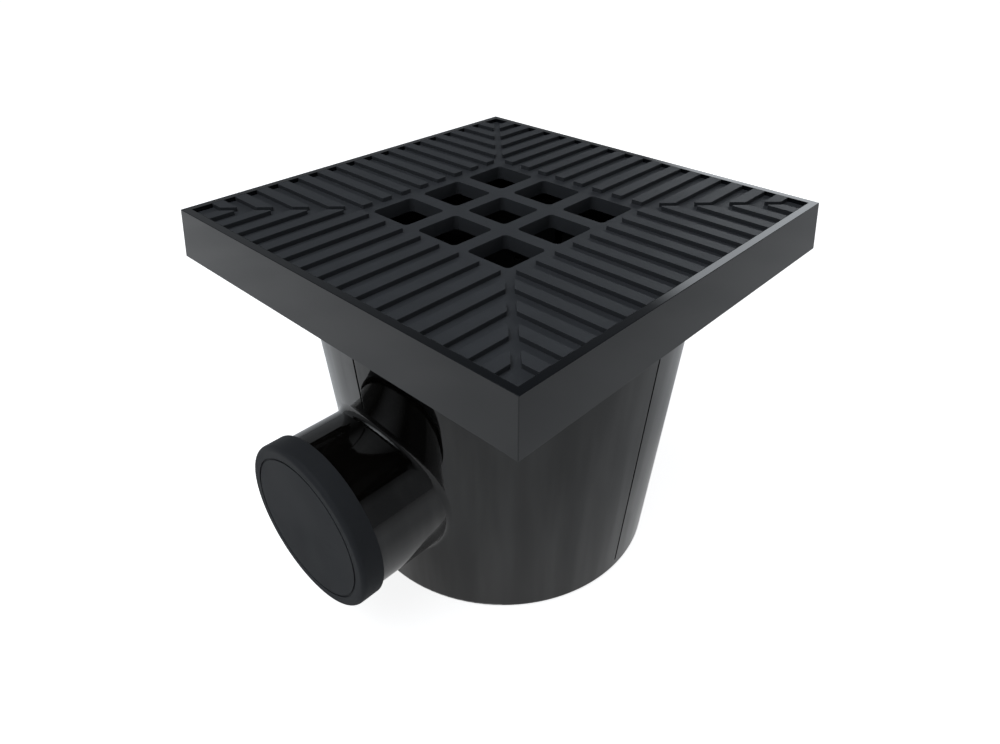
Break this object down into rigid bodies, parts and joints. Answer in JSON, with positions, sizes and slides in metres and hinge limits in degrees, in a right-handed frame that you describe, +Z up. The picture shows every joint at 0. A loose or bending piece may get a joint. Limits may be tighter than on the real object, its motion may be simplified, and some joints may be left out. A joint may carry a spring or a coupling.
{
  "type": "gully trap",
  "caption": "Yard gully trap: round tapered pot with a capped side outlet, square frame, ribbed inset grate, leaf basket and lift-out trap bend.",
  "frame": {"origin": "centre of the pot's flat base", "axes": "+Z up through the pot and the grate, -X along the side outlet"},
  "size_m": [0.3306, 0.3, 0.2575],
  "materials": {
    "moulded_black": "glossy injection-moulded polypropylene",
    "grate_charcoal": "matt, finely textured polypropylene",
    "cap_black": "satin polyethylene",
    "basket_black": "satin polypropylene",
    "bend_grey": "satin pipe-grey polypropylene",
    "seal_rubber": "matt black rubber"
  },
  "bodies": {
    "root": {"gully_body": "moulded_black", "outlet_cap": "cap_black", "frame": "moulded_black", "frame_seal": "seal_rubber", "grate": "grate_charcoal", "leaf_basket": "basket_black", "trap_bend": "bend_grey", "bend_seal": "seal_rubber", "rodding_plug": "bend_grey", "plug_seal": "seal_rubber"}
  },
  "joints": []
}
